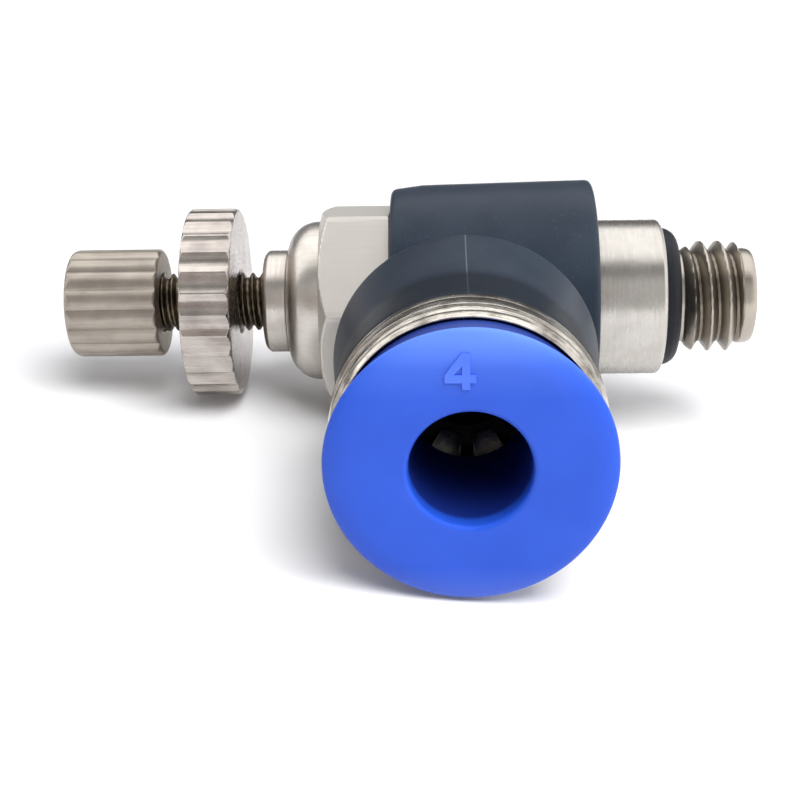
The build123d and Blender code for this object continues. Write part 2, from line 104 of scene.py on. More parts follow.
def finish_piece(mesh, name, body, replaced, material, smooth_angle=35):
    """Makes a shown object of a mesh, in metres, that rides on a body and stands for CAD nodes."""
    piece = bpy.data.objects.new(name, mesh)
    bpy.context.scene.collection.objects.link(piece)
    piece.data.materials.clear()
    piece.data.materials.append(material)
    for polygon in mesh.polygons:
        polygon.use_smooth = True
    mesh.set_sharp_from_angle(angle=math.radians(smooth_angle))
    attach(piece, body)
    if replaced:
        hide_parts(*replaced)
    shown_pieces.append(piece)
    return piece


def rounded(profile, radius, steps=4):
    """The closed outline with every corner turned into a small arc, as even as its two edges allow."""
    points = []
    count = len(profile)
    for index in range(count):
        before = Vector(profile[index - 1])
        corner = Vector(profile[index])
        after = Vector(profile[(index + 1) % count])
        back = before - corner
        ahead = after - corner
        on_axis = corner.y < TINY
        if on_axis or back.length < TINY or ahead.length < TINY:
            points.append(tuple(corner))
            continue
        turn = back.angle(ahead)
        if turn > NEARLY_STRAIGHT:
            points.append(tuple(corner))
            continue
        reach = min(radius, back.length * MOST_OF_HALF, ahead.length * MOST_OF_HALF)
        start = corner + back.normalized() * reach
        end = corner + ahead.normalized() * reach
        for step in range(steps + 1):
            t = step / steps
            points.append(tuple(start * (1 - t) ** 2 + corner * 2 * t * (1 - t) + end * t**2))
    return points


def divided(profile, longest):
    """The closed outline with its long edges cut into equal runs."""
    points = []
    count = len(profile)
    for index in range(count):
        start = Vector(profile[index])
        end = Vector(profile[(index + 1) % count])
        runs = max(1, math.ceil((end - start).length / longest))
        for run in range(runs):
            points.append(tuple(start.lerp(end, run / runs)))
    return points


def lathe(name, profile, segments=ROUND_SEGMENTS, reshape=None, port=False):
    """A closed mesh turned from an outline of (along, radius) points in millimetres.

    reshape(along, radius, angle) may change the radius at each point. A port piece turns about the
    port axis with along measured out from the valve axis; any other turns about the valve axis.
    """
    work = bmesh.new()
    rings = []
    for along, radius in profile:
        ring = []
        for index in range(segments):
            angle = 2 * math.pi * index / segments
            r = reshape(along, radius, angle) if reshape else radius
            if port:
                place = (PORT_X + r * math.cos(angle), -along, r * math.sin(angle))
            else:
                place = (along, r * math.cos(angle), r * math.sin(angle))
            ring.append(work.verts.new(Vector(place) * MM))
        rings.append(ring)
    for index, ring in enumerate(rings):
        following = rings[(index + 1) % len(rings)]
        if profile[index][1] < TINY and profile[(index + 1) % len(rings)][1] < TINY:
            continue
        for side in range(segments):
            other = (side + 1) % segments
            work.faces.new((ring[side], following[side], following[other], ring[other]))
    bmesh.ops.remove_doubles(work, verts=work.verts, dist=1e-8)
    bmesh.ops.dissolve_degenerate(work, edges=work.edges, dist=1e-9)
    bmesh.ops.recalc_face_normals(work, faces=work.faces)
    mesh = bpy.data.meshes.new(name)
    work.to_mesh(mesh)
    work.free()
    return mesh


def combined(name, base, others, operation):
    """The base mesh joined with, or cut by, the others."""
    scratch = bpy.data.objects.new("scratch", base)
    bpy.context.scene.collection.objects.link(scratch)
    tools = []
    for other in others:
        tool = bpy.data.objects.new("tool", other)
        bpy.context.scene.collection.objects.link(tool)
        tools.append(tool)
        step = scratch.modifiers.new("combine", "BOOLEAN")
        step.object = tool
        step.operation = operation
        step.solver = "EXACT"
    bpy.context.view_layer.update()
    result = bpy.data.meshes.new_from_object(scratch.evaluated_get(bpy.context.evaluated_depsgraph_get()))
    result.name = name
    for used in [scratch, *tools]:
        bpy.data.objects.remove(used)
    return result


def cross_drill(along, radius, angle):
    """A thin closed bar from inside the stem's bore to outside its wall, for one radial hole."""
    middle_out = 1.9
    length = 3.4
    work = bmesh.new()
    turn = Matrix.Rotation(angle, 4, "X")
    place = Matrix.Translation((along * MM, 0, middle_out * MM))
    bmesh.ops.create_cone(
        work,
        cap_ends=True,
        segments=32,
        radius1=radius * MM,
        radius2=radius * MM,
        depth=length * MM,
        matrix=turn @ place,
    )
    mesh = bpy.data.meshes.new("drill")
    work.to_mesh(mesh)
    work.free()
    return mesh


# ---- material helpers ----


def new_material(name):
    """A material with an empty node tree but for its shader, and that shader."""
    material = bpy.data.materials.new(name)
    material.use_nodes = True
    tree = material.node_tree
    shader = tree.nodes["Principled BSDF"]
    return material, tree, shader


def stretched_noise(tree, sizes_mm, detail=3.0, roughness=0.55):
    """Noise whose features measure about sizes_mm along X, Y and Z in the object's own frame."""
    place = tree.nodes.new("ShaderNodeTexCoord")
    scale = tree.nodes.new("ShaderNodeMapping")
    scale.inputs["Scale"].default_value = [1 / (size * MM) for size in sizes_mm]
    noise = tree.nodes.new("ShaderNodeTexNoise")
    noise.inputs["Scale"].default_value = 1.0
    noise.inputs["Detail"].default_value = detail
    noise.inputs["Roughness"].default_value = roughness
    tree.links.new(place.outputs["Object"], scale.inputs["Vector"])
    tree.links.new(scale.outputs["Vector"], noise.inputs["Vector"])
    return noise.outputs["Fac"]


def ramp(tree, source, stops):
    """A colour or grey that follows a source value through (position, colour) stops."""
    node = tree.nodes.new("ShaderNodeValToRGB")
    stops = [(place, (c, c, c) if isinstance(c, float) else c) for place, c in stops]
    while len(node.color_ramp.elements) < len(stops):
        node.color_ramp.elements.new(0.5)
    for element, (place, colour) in zip(node.color_ramp.elements, stops):
        element.position = place
        element.color = (*colour, 1.0)
    tree.links.new(source, node.inputs["Fac"])
    return node.outputs["Color"]


def ranged(tree, source, start, end):
    """A value that goes from 0 to 1 as a source value goes from start to end."""
    share = tree.nodes.new("ShaderNodeMapRange")
    share.inputs["From Min"].default_value = start
    share.inputs["From Max"].default_value = end
    tree.links.new(source, share.inputs["Value"])
    return share.outputs["Result"]


def zone(tree, axis, start_mm, end_mm):
    """A value that goes from 0 to 1 as the object's own coordinate goes from start to end, in millimetres."""
    place = tree.nodes.new("ShaderNodeTexCoord")
    split = tree.nodes.new("ShaderNodeSeparateXYZ")
    tree.links.new(place.outputs["Object"], split.inputs["Vector"])
    return ranged(tree, split.outputs[axis], start_mm * MM, end_mm * MM)


def radial_zone(tree, shift_mm, across, start_mm, end_mm):
    """A value from 0 to 1 as the distance from an axis goes from start to end, in millimetres.

    shift_mm brings the axis to the origin, and across is 1 for the directions square to the axis.
    """
    place = tree.nodes.new("ShaderNodeTexCoord")
    flat = tree.nodes.new("ShaderNodeMapping")
    flat.inputs["Location"].default_value = [shift * MM for shift in shift_mm]
    flat.inputs["Scale"].default_value = across
    from_axis = tree.nodes.new("ShaderNodeVectorMath")
    from_axis.operation = "LENGTH"
    tree.links.new(place.outputs["Object"], flat.inputs["Vector"])
    tree.links.new(flat.outputs["Vector"], from_axis.inputs[0])
    return ranged(tree, from_axis.outputs["Value"], start_mm * MM, end_mm * MM)


def product(tree, first, second):
    """Two values multiplied."""
    node = tree.nodes.new("ShaderNodeMath")
    node.operation = "MULTIPLY"
    tree.links.new(first, node.inputs[0])
    tree.links.new(second, node.inputs[1])
    return node.outputs["Value"]


def plain(tree, colour):
    """A colour output of one colour."""
    node = tree.nodes.new("ShaderNodeRGB")
    node.outputs[0].default_value = (*colour, 1.0)
    return node.outputs[0]


def recolour(tree, shader, share, colour):
    """Mixes another colour over the shader's colour by a share output."""
    present = shader.inputs["Base Color"].links[0].from_socket
    tree.links.new(mixed(tree, share, present, plain(tree, colour)), shader.inputs["Base Color"])


def mixed(tree, factor, first, second):
    """Two colour outputs mixed by a factor output."""
    node = tree.nodes.new("ShaderNodeMix")
    node.data_type = "RGBA"
    tree.links.new(factor, node.inputs["Factor"])
    tree.links.new(first, node.inputs["A"])
    tree.links.new(second, node.inputs["B"])
    return node.outputs["Result"]


def add_bump(tree, shader, height, depth_mm, strength=1.0, under=None):
    """A bump of a height output onto the shader, over an earlier bump if there is one."""
    bump = tree.nodes.new("ShaderNodeBump")
    bump.inputs["Distance"].default_value = depth_mm * MM
    bump.inputs["Strength"].default_value = strength
    tree.links.new(height, bump.inputs["Height"])
    if under:
        tree.links.new(under, bump.inputs["Normal"])
    tree.links.new(bump.outputs["Normal"], shader.inputs["Normal"])
    return bump.outputs["Normal"]


def nickel(name, light, dark, grain_mm, shine=(0.16, 0.34), grain_depth=0.004, waves_depth=0.010):
    """Nickel plate with machining marks of grain_mm along X, Y and Z, stains and soft waviness."""
    material, tree, shader = new_material(name)
    shader.inputs["Metallic"].default_value = 1.0
    stain = stretched_noise(tree, (1.4, 1.1, 1.1), detail=4.0)
    grain = stretched_noise(tree, grain_mm, detail=2.0)
    waves = stretched_noise(tree, (0.7, 0.7, 0.7), detail=1.5)
    base = ramp(tree, stain, [(0.30, dark), (0.62, light)])
    marks = ramp(tree, grain, [(0.30, tuple(c * 0.84 for c in dark)), (0.55, light)])
    blend = ramp(tree, grain, [(0.35, 0.10), (0.65, 0.42)])
    tree.links.new(mixed(tree, blend, base, marks), shader.inputs["Base Color"])
    tree.links.new(ramp(tree, grain, [(0.25, shine[1]), (0.70, shine[0])]), shader.inputs["Roughness"])
    soft = add_bump(tree, shader, waves, waves_depth, 0.8)
    add_bump(tree, shader, grain, grain_depth, 0.9, under=soft)
    return material


def stem_nickel():
    """The stem's nickel: bright on the dome, satin on the hexagon with a painted lighter tint, and a painted
    darker tone on the thread, with painted shade in the roots of its first turns.
    """
    material = nickel(
        "valve_stem_nickel",
        WARM_LIGHT,
        (0.49, 0.455, 0.415),
        DRAWN,
        shine=(0.28, 0.38),
        waves_depth=0.005,
    )
    tree = material.node_tree
    shader = tree.nodes["Principled BSDF"]
    # Painted shade: the thread gets a darker colour, standing in for the dark surroundings its flanks
    # reflect.
    on_thread = zone(tree, "X", -0.4, -0.2)
    recolour(tree, shader, on_thread, (0.42, 0.38, 0.33))
    # Painted shade in the roots between the first few crests of the thread.
    in_roots = radial_zone(tree, (0, 0, 0), (0, 1, 1), 2.36, 2.08)
    between_crests = product(tree, zone(tree, "X", 0.35, 0.55), zone(tree, "X", 2.85, 2.65))
    recolour(tree, shader, product(tree, in_roots, between_crests), (0.20, 0.175, 0.145))
    right_of_dome = zone(tree, "X", HEX_LEFT - 0.05, HEX_LEFT + 0.05)
    left_of_thread = zone(tree, "X", -3.0, -4.0)
    on_hexagon = product(tree, right_of_dome, left_of_thread)
    # Painted light: the hexagon's colour is lifted towards a paler tint so its faces read brighter. The satin
    # roughness set below is the hexagon's real finish.
    most = plain(tree, (0.8, 0.8, 0.8))
    recolour(tree, shader, product(tree, on_hexagon, most), (0.80, 0.765, 0.715))
    present = shader.inputs["Roughness"].links[0].from_socket
    satin = plain(tree, (0.46, 0.46, 0.46))
    tree.links.new(mixed(tree, on_hexagon, present, satin), shader.inputs["Roughness"])
    return material


def port_nickel():
    """The port collar's nickel: bright, with ring-wise machining marks, dark brownish stains and painted
    shade along its mark and groove.
    """
    material = nickel(
        "port_collar_nickel",
        (0.66, 0.62, 0.565),
        (0.10, 0.085, 0.07),
        (1.6, 0.05, 1.6),
        shine=(0.08, 0.28),
        grain_depth=0.011,
    )
    tree = material.node_tree
    shader = tree.nodes["Principled BSDF"]
    patches = stretched_noise(tree, (0.9, 0.09, 0.9), detail=5.0, roughness=0.7)
    stain = ramp(tree, patches, [(0.52, 0.0), (0.60, 0.55)])
    recolour(tree, shader, stain, (0.085, 0.070, 0.055))
    # Painted shade: near-black lines along the mark and the groove.
    half_line = 0.11
    for line_centre in GROOVE_SHADE_RINGS:
        rising = zone(tree, "Y", -line_centre + half_line, -line_centre)
        falling = zone(tree, "Y", -line_centre - half_line, -line_centre)
        recolour(tree, shader, product(tree, rising, falling), (0.012, 0.010, 0.009))
    return material


def moulded(name, light, dark, fleck, fleck_amount, roughness, grain_mm, grain_depth, gloss=0.4):
    """Moulded plastic with slow colour drift, faint dust specks and a fine grain."""
    material, tree, shader = new_material(name)
    shader.inputs["Specular IOR Level"].default_value = gloss
    drift = stretched_noise(tree, (2.2, 2.2, 2.2), detail=2.0)
    grain = stretched_noise(tree, (grain_mm, grain_mm, grain_mm), detail=3.0)
    flecks = stretched_noise(tree, (0.10, 0.10, 0.10), detail=1.0)
    base = ramp(tree, drift, [(0.30, dark), (0.70, light)])
    spots = ramp(tree, flecks, [(0.68, 0.0), (0.74, fleck_amount)])
    tree.links.new(mixed(tree, spots, base, plain(tree, fleck)), shader.inputs["Base Color"])
    tree.links.new(
        ramp(tree, grain, [(0.2, roughness + 0.08), (0.8, roughness - 0.06)]),
        shader.inputs["Roughness"],
    )
    add_bump(tree, shader, grain, grain_depth, 0.7)
    return material


def elbow_black():
    """The elbow's black, with a thin pale parting line along the top and the bottom of the barrel, and
    painted shade over the barrel's front end.
    """
    material = moulded(
        "valve_body_black",
        (0.020, 0.028, 0.042),
        (0.014, 0.021, 0.033),
        fleck=(0.07, 0.08, 0.10),
        fleck_amount=0.30,
        roughness=0.36,
        grain_mm=0.06,
        grain_depth=0.010,
        gloss=0.15,
    )
    tree = material.node_tree
    shader = tree.nodes["Principled BSDF"]
    half_line = 0.035
    rising = zone(tree, "X", PORT_X - half_line, PORT_X)
    falling = zone(tree, "X", PORT_X + half_line, PORT_X)
    ahead_of_block = zone(tree, "Y", -6.8, -7.4)
    line = product(tree, product(tree, rising, falling), ahead_of_block)
    recolour(tree, shader, line, (0.11, 0.12, 0.135))
    # Painted shade: the barrel's front end, round the port collar, is darkened.
    front_end_shade = ramp(tree, zone(tree, "Y", -11.0, -11.8), [(0.0, 0.0), (1.0, 0.75)])
    recolour(tree, shader, front_end_shade, (0.004, 0.006, 0.010))
    return material


def sleeve_blue():
    """The release sleeve's blue, with painted shade that deepens inside the tube hole and behind the flange,
    and painted light that pales the colour towards the top and the bottom.
    """
    material = moulded(
        "release_sleeve_blue",
        (0.017, 0.080, 0.54),
        (0.014, 0.071, 0.50),
        fleck=(0.04, 0.12, 0.62),
        fleck_amount=0.25,
        roughness=0.40,
        grain_mm=0.09,
        grain_depth=0.004,
        gloss=0.30,
    )
    tree = material.node_tree
    shader = tree.nodes["Principled BSDF"]
    inside = radial_zone(tree, (-PORT_X, 0, 0), (1, 0, 1), 2.35, 2.25)
    inwards = zone(tree, "Y", -SLEEVE_FRONT, -SLEEVE_FRONT + 5.0)
    shade = ramp(tree, inwards, [(0.02, 0.0), (0.12, 0.20), (0.36, 0.15), (0.9, 0.35)])
    recolour(tree, shader, product(tree, inside, shade), (0.003, 0.004, 0.012))
    # Painted light: the colour grows paler towards the top of the sleeve.
    painted_light_above = ramp(tree, zone(tree, "Z", 2.6, 5.0), [(0.0, 0.0), (0.45, 0.25), (0.85, 0.95), (1.0, 1.0)])
    recolour(tree, shader, painted_light_above, (0.094, 0.200, 0.74))
    # Painted light: the colour grows paler towards the bottom of the sleeve.
    painted_light_below = ramp(tree, zone(tree, "Z", -3.7, -5.0), [(0.0, 0.0), (1.0, 0.75)])
    recolour(tree, shader, painted_light_below, (0.065, 0.135, 0.58))
    # Painted shade: the neck and everything behind the flange is darkened.
    painted_shade_behind_flange = ramp(tree, zone(tree, "Y", -17.25, -17.0), [(0.0, 0.0), (1.0, 0.80)])
    recolour(tree, shader, painted_shade_behind_flange, (0.006, 0.010, 0.10))
    return material


WARM_LIGHT = (0.60, 0.565, 0.52)
TURNED = (0.07, 2.5, 2.5)
DRAWN = (3.0, 0.10, 0.10)

handle_metal = nickel("knob_nickel", (0.43, 0.385, 0.335), (0.31, 0.275, 0.24), DRAWN, shine=(0.40, 0.54))
nut_metal = nickel("lock_nut_nickel", (0.54, 0.495, 0.455), (0.30, 0.26, 0.245), DRAWN, shine=(0.20, 0.34))
screw_metal = nickel("screw_brass", (0.20, 0.165, 0.12), (0.055, 0.045, 0.034), TURNED, shine=(0.26, 0.44))
bush_metal = nickel(
    "guide_bush_nickel",
    WARM_LIGHT,
    (0.45, 0.405, 0.37),
    TURNED,
    shine=(0.26, 0.38),
    waves_depth=0.005,
)
stem_metal = stem_nickel()
collar_metal = nickel(
    "stem_collar_nickel",
    (0.53, 0.505, 0.47),
    (0.45, 0.425, 0.39),
    (0.12, 1.4, 1.4),
    shine=(0.25, 0.32),
    grain_depth=0.0012,
    waves_depth=0.008,
)
port_metal = port_nickel()
# Near-black steel: painted shade, standing in for the shade deep in the tube hole where the teeth sit.
claw_steel_shaded = nickel("claw_steel_shaded", (0.05, 0.05, 0.045), (0.025, 0.025, 0.022), (0.4, 0.4, 0.4))
body_plastic = elbow_black()
sleeve_plastic = sleeve_blue()
digit_plastic = moulded(
    "size_digit_blue",
    (0.070, 0.160, 0.72),
    (0.055, 0.140, 0.68),
    fleck=(0.1, 0.2, 0.7),
    fleck_amount=0.25,
    roughness=0.46,
    grain_mm=0.05,
    grain_depth=0.006,
    gloss=0.3,
)
seal_rubber = moulded(
    "seal_rubber",
    (0.012, 0.012, 0.014),
    (0.008, 0.008, 0.009),
    fleck=(0.04, 0.04, 0.04),
    fleck_amount=0.25,
    roughness=0.60,
    grain_mm=0.05,
    grain_depth=0.006,
)
gasket_rubber = moulded(
    "thread_gasket_rubber",
    (0.006, 0.007, 0.010),
    (0.004, 0.005, 0.007),
    fleck=(0.05, 0.05, 0.06),
    fleck_amount=0.25,
    roughness=0.46,
    grain_mm=0.05,
    grain_depth=0.006,
    gloss=0.2,
)
spacer_plastic = moulded(
    "spacer_plastic",
    (0.30, 0.30, 0.28),
    (0.24, 0.24, 0.22),
    fleck=(0.4, 0.4, 0.4),
    fleck_amount=0.25,
    roughness=0.45,
    grain_mm=0.08,
    grain_depth=0.004,
)

for node, material in {
    "needle_o_ring": seal_rubber,
    "upper_o_ring": seal_rubber,
    "lower_o_ring": seal_rubber,
    "check_seal": seal_rubber,
    "tube_seal": seal_rubber,
    "claw_backing_ring": spacer_plastic,
}.items():
    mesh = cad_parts[node].data
    mesh.materials.clear()
    mesh.materials.append(material)


# ---- adjuster ----


def wavy(count, edge_r, middle_r, turn, least_r):
    """Reshapes a lathe's rim into equal arcs with their ends at edge_r and their middles at middle_r."""

    def shape(along, radius, angle):
        if radius < least_r:
            return radius
        step = 2 * math.pi / count
        off = abs((angle - turn + step / 2) % step - step / 2) / (step / 2)
        return min(radius, middle_r + (edge_r - middle_r) * off**2)

    return shape


def make_knob():
    """Handle of soft lobes with a rounded left rim, over the blind hole for the screw."""
    lobes = 16
    lobe_height = 0.13
    left_rim = [(0, 0.30), (0.09, 0.10), (0.28, 0)]
    right_rim = 0.12
    hole_r = 1.30
    hole_left = KNOB_RIGHT - 3.0
    profile = [
        (KNOB_LEFT, 0),
        *[(KNOB_LEFT + inwards, KNOB_R - down) for inwards, down in left_rim],
        (KNOB_RIGHT - right_rim, KNOB_R),
        (KNOB_RIGHT, KNOB_R - right_rim),
        (KNOB_RIGHT, hole_r),
        (hole_left, hole_r),
        (hole_left, 0),
    ]
    lobed = wavy(lobes, KNOB_R - lobe_height, KNOB_R, 0.0, KNOB_R - 0.5)
    mesh = lathe("knob_handle", divided(rounded(profile, 0.12), 0.35), 384, lobed)
    finish_piece(mesh, "knob_handle", "adjuster", ["knob"], handle_metal, 50)


def screw_ridge(phase, crest_r, root_r, crest_share, root_share):
    """Radius of a thread at a phase of 0 to 1 along its pitch, flat for a share at crest and root."""
    phase = phase % 1.0
    from_crest = min(phase, 1 - phase)
    crest_half = crest_share / 2
    root_start = 0.5 - root_share / 2
    if from_crest <= crest_half:
        return crest_r
    if from_crest >= root_start:
        return root_r
    t = (from_crest - crest_half) / (root_start - crest_half)
    return crest_r + (root_r - crest_r) * t


def make_screw():
    """Metering screw with a right-hand helical thread, sealed head, plug and tip."""
    crest_r = 1.30
    root_r = 1.08
    pitch = 0.45
    run_out = 0.25
    head_r = 1.40
    head_left = BUSH_INNER + 1.40
    head_right = head_left + 2.30
    groove_r = 0.95
    groove_left = head_left + 0.85
    groove_right = groove_left + 0.60
    plug_r = 1.15
    shoulder = TIP_END - 1.20
    needle_r = 0.74
    needle_end_r = 0.35
    end_rim = 0.1
    plug_lead = 0.2
    thread_from = KNOB_RIGHT + 0.10
    thread_to = head_left - 0.45

    def threaded(along, radius, angle):
        if radius < crest_r - TINY or not thread_from - run_out < along < thread_to + run_out:
            return radius
        turns = along / pitch - angle / (2 * math.pi)
        ridge = screw_ridge(turns, crest_r, root_r, crest_share=0.14, root_share=0.22)
        from_left = (along - thread_from + run_out) / run_out
        to_right = (thread_to + run_out - along) / run_out
        fade = min(1.0, from_left, to_right)
        return crest_r + (ridge - crest_r) * max(0.0, fade)

    step_length = 0.028
    threaded_length = thread_to - thread_from + 2 * run_out
    steps = round(threaded_length / step_length)
    profile = [(SCREW_LEFT, 0), (SCREW_LEFT, crest_r - end_rim), (SCREW_LEFT + end_rim, crest_r)]
    for step in range(steps + 1):
        along = thread_from - run_out + threaded_length * step / steps
        profile.append((along, crest_r))
    profile += [
        (thread_to + run_out + 0.01, root_r),
        (head_left, root_r),
        (head_left, head_r),
        (groove_left, head_r),
        (groove_left, groove_r),
        (groove_right, groove_r),
        (groove_right, head_r),
        (head_right, head_r),
        (head_right + plug_lead, plug_r),
        (shoulder, plug_r),
        (shoulder, needle_r),
        (TIP_END, needle_end_r),
        (TIP_END, 0),
    ]
    mesh = lathe("metering_screw", profile, 96, threaded)
    finish_piece(mesh, "metering_screw", "adjuster", ["needle"], screw_metal, 40)


def make_lock_nut():
    """Round nut with hollow flutes all round and sharp ridges between them."""
    teeth = 28
    points_each = 24
    flute_depth = 0.12
    turned = math.radians(-4.6)
    rim = 0.14
    bore_rim = 0.15
    bore_r = 1.36
    profile = [
        (NUT_LEFT, bore_r + bore_rim),
        (NUT_LEFT, NUT_R - rim),
        (NUT_LEFT + rim, NUT_R),
        (NUT_RIGHT - rim, NUT_R),
        (NUT_RIGHT, NUT_R - rim),
        (NUT_RIGHT, bore_r + bore_rim),
        (NUT_RIGHT - bore_rim, bore_r),
        (NUT_LEFT + bore_rim, bore_r),
    ]
    fluted = wavy(teeth, NUT_R, NUT_R - flute_depth, turned, NUT_R - 0.6)
    mesh = lathe("lock_nut_wheel", divided(rounded(profile, 0.08), 0.4), teeth * points_each, fluted)
    finish_piece(mesh, "lock_nut_wheel", "nut", ["lock_nut"], nut_metal, 40)


def make_guide_bush():
    """Plain collar and barrel in which the screw turns."""
    bore_r = 1.36
    rim = 0.18
    profile = [
        (BUSH_LEFT, bore_r + rim),
        (BUSH_LEFT, BUSH_COLLAR_R - rim),
        (BUSH_LEFT + rim, BUSH_COLLAR_R),
        (DOME_LEFT, BUSH_COLLAR_R),
        (DOME_LEFT, BUSH_BARREL_R),
        (BUSH_INNER, BUSH_BARREL_R),
        (BUSH_INNER, bore_r),
        (BUSH_LEFT + rim, bore_r),
    ]
    mesh = lathe("screw_guide", rounded(profile, 0.08))
    finish_piece(mesh, "screw_guide", "stem", ["guide_bush"], bush_metal)


# ---- stem ----

THREAD_R = 2.45
THREAD_ROOT_R = 2.01
THREAD_PITCH = 0.8
COLLAR_SEAT_R = 2.70
O_RING_GROOVE_R = 2.16


def groove_walls(left, width, outer_r, groove_r):
    """The four outline points of a square groove that starts at left."""
    right = left + width
    return [(left, outer_r), (left, groove_r), (right, groove_r), (right, outer_r)]


def stem_outline():
    """Outline of the stem: dome, hexagon, spindle with its grooves, seat, relief, thread and bores."""
    hex_corner_r = HEX_HALF_WIDTH / math.cos(math.radians(30))
    hex_rim = 0.06
    dome_edge = 1.35
    dome_steps = 12
    cone_steps = 8
    spindle_r = 2.80
    check_groove_r = 2.15
    relief_r = 2.00
    outlet_r = 1.25
    outlet_rim = 0.12
    seat_r = 0.80
    seat = PORT_X + 1.90
    seat_length = 0.80
    needle_bore_r = 1.45
    upper_groove = PORT_X - 2.40
    check_groove = PORT_X + 2.45
    lower_groove = PORT_X + 4.68
    o_ring_width = 0.80
    check_width = 0.90
    points = [(DOME_LEFT, BUSH_BARREL_R)]
    for step in range(dome_steps + 1):
        angle = math.radians(90 * step / dome_steps)
        along = DOME_LEFT + dome_edge * (1 - math.cos(angle))
        points.append((along, DOME_R - dome_edge * (1 - math.sin(angle))))
    points.append((HEX_LEFT - 0.02, DOME_R))
    cone_from = 3.90
    cone_rise = hex_corner_r - cone_from
    cone_run = cone_rise * math.tan(math.radians(30))
    for step in range(cone_steps + 1):
        share = step / cone_steps
        points.append((HEX_LEFT + cone_run * share, cone_from + cone_rise * share))
    points += [
        (HEX_RIGHT - hex_rim, hex_corner_r),
        (HEX_RIGHT, hex_corner_r - hex_rim),
        (HEX_RIGHT, spindle_r),
        *groove_walls(upper_groove, o_ring_width, spindle_r, O_RING_GROOVE_R),
        *groove_walls(check_groove, check_width, spindle_r, check_groove_r),
        *groove_walls(lower_groove, o_ring_width, spindle_r, O_RING_GROOVE_R),
        (COLLAR_LEFT, spindle_r),
        (COLLAR_LEFT, COLLAR_SEAT_R),
        (COLLAR_RIGHT, COLLAR_SEAT_R),
        (COLLAR_RIGHT, relief_r),
        (-0.10, relief_r),
    ]
    thread_steps = 120
    for step in range(thread_steps + 1):
        points.append((-0.05 + (THREAD_END + 0.05) * step / thread_steps, THREAD_R))
    points += [
        (THREAD_END, outlet_r + 0.10),
        (THREAD_END - outlet_rim, outlet_r),
        (seat + seat_length, outlet_r),
        (seat + seat_length, seat_r),
        (seat, seat_r),
        (seat, needle_bore_r),
        (BUSH_INNER, needle_bore_r),
        (BUSH_INNER, BUSH_BARREL_R),
    ]
    return points


def thread_radius(along, angle):
    """Radius of the M5 helix, which runs in from its root and ends in a plain rounded nose."""
    first_crest = 0.95
    run_in_start = 0.22
    run_in_length = 0.60
    nose_length = 0.55
    nose_round = 0.35
    nose_drop = 0.16
    nose_step = 0.10
    fade_length = 0.20
    turns = (along - first_crest) / THREAD_PITCH - angle / (2 * math.pi)
    ridge = screw_ridge(turns, THREAD_R, THREAD_ROOT_R, crest_share=0.10, root_share=0.14)
    run_in = min(1.0, max(0.0, (along - run_in_start) / run_in_length))
    crest_limit = THREAD_ROOT_R + (THREAD_R - THREAD_ROOT_R) * run_in
    nose_r = THREAD_ROOT_R + nose_step
    to_end = THREAD_END - along
    if to_end < nose_length:
        rounding = min(1.0, to_end / nose_round)
        return nose_r - nose_drop * (1 - math.sqrt(max(0.0, 1 - (1 - rounding) ** 2)))
    if to_end < nose_length + fade_length:
        fade = (to_end - nose_length) / fade_length
        crest_limit = nose_r + (THREAD_R - nose_r) * fade
        ridge = max(ridge, nose_r - nose_step * fade)
    return min(ridge, crest_limit)


def stem_shape(along, radius, angle):
    """Gives the stem's outline its hexagon and its M5 helix."""
    if HEX_LEFT - 0.01 < along < HEX_RIGHT + 0.01 and radius > DOME_R + 0.1:
        off = (angle - HEX_CORNER) % math.radians(60) - math.radians(30)
        return min(radius, HEX_HALF_WIDTH / math.cos(off))
    if along > -0.06 and radius > THREAD_R - 0.01:
        return thread_radius(along, angle)
    return radius


def make_stem():
    """The turned stem, with its cross holes drilled."""
    mesh = lathe("valve_stem_turned", stem_outline(), 360, stem_shape)
    large_holes = (PORT_X + 0.65, 0.60)
    small_holes = (PORT_X + 4.00, 0.45)
    drills = []
    for quarter in range(4):
        turned = quarter * math.pi / 2
        drills.append(cross_drill(*large_holes, turned))
        drills.append(cross_drill(*small_holes, turned))
    mesh = combined("valve_stem_turned", mesh, drills, "DIFFERENCE")
    finish_piece(mesh, "valve_stem_turned", "stem", ["valve_stem"], stem_metal, 28)


def make_stem_collar():
    """Plain bright ring that keeps the elbow on the stem."""
    rim = 0.15
    profile = [
        (COLLAR_LEFT, COLLAR_SEAT_R),
        (COLLAR_LEFT, STEM_COLLAR_R),
        (COLLAR_RIGHT - rim, STEM_COLLAR_R),
        (COLLAR_RIGHT, STEM_COLLAR_R - rim),
        (COLLAR_RIGHT, COLLAR_SEAT_R),
    ]
    mesh = lathe("stem_collar_ring", rounded(profile, 0.06))
    finish_piece(mesh, "stem_collar_ring", "stem", ["stem_collar"], collar_metal)


def make_gasket():
    """Rubber-faced sealing ring with a rounded outer edge."""
    inner_r = 2.06
    mouth_r = 2.34
    outer_edge = [(0, 0), (0.33, 0.08), (0.55, 0.22)]
    profile = [
        (GASKET_LEFT, inner_r),
        *[(GASKET_LEFT + along, GASKET_R - down) for along, down in outer_edge],
        (SEAL_FACE, GASKET_R - 0.40),
        (SEAL_FACE, mouth_r),
        (SEAL_FACE - 0.10, inner_r),
    ]
    mesh = lathe("thread_gasket_ring", rounded(profile, 0.06))
    finish_piece(mesh, "thread_gasket_ring", "stem", ["thread_gasket"], gasket_rubber)


# ---- elbow ----

COLLAR_POCKET_R = 4.62


